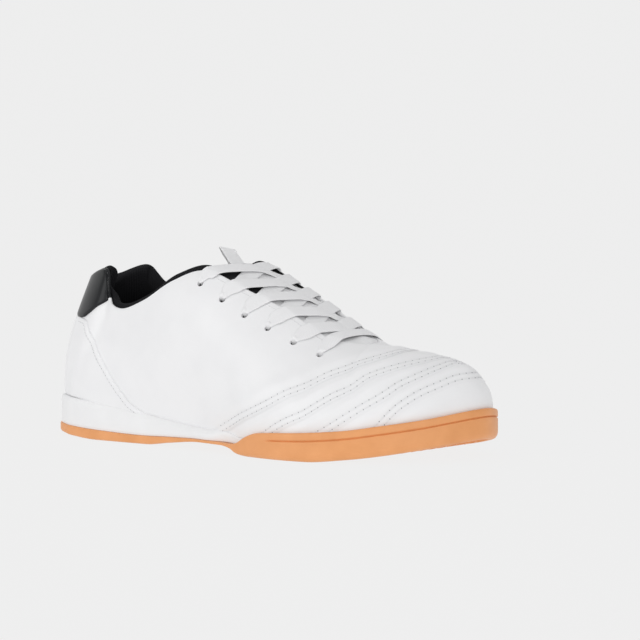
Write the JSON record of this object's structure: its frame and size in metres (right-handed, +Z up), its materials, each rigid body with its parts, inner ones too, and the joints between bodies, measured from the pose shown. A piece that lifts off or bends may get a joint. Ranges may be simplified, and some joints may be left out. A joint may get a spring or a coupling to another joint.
{
  "type": "indoor court shoe",
  "caption": "Low indoor court shoe for the right foot: smooth white laced upper, padded dark collar and heel tab, pale midsole wedge and gum rubber cup sole.",
  "frame": {"origin": "on the ground, under the middle of the sole's outline", "axes": "+X to the toe, +Y to the inner (big toe) side, +Z up"},
  "size_m": [0.288, 0.1026, 0.1091],
  "materials": {
    "gum_rubber": "satin moulded gum rubber",
    "white_foam": "matt moulded foam",
    "white_leather": "smooth synthetic leather, soft sheen",
    "black_patent": "glossy smooth synthetic",
    "black_textile": "matt knitted lining",
    "tongue_textile": "matt fabric",
    "lace_textile": "flat woven lace"
  },
  "bodies": {
    "root": {"outsole": "gum_rubber", "midsole": "white_foam", "insole": "black_textile", "upper": "white_leather", "heel_counter": "white_leather", "heel_tab": "black_patent", "collar_lining": "black_textile", "tongue": "tongue_textile", "lace_bar": "lace_textile", "lace_cross_1": "lace_textile", "lace_cross_2": "lace_textile", "lace_cross_3": "lace_textile", "lace_cross_4": "lace_textile", "lace_cross_5": "lace_textile", "lace_end": "lace_textile"}
  },
  "joints": []
}
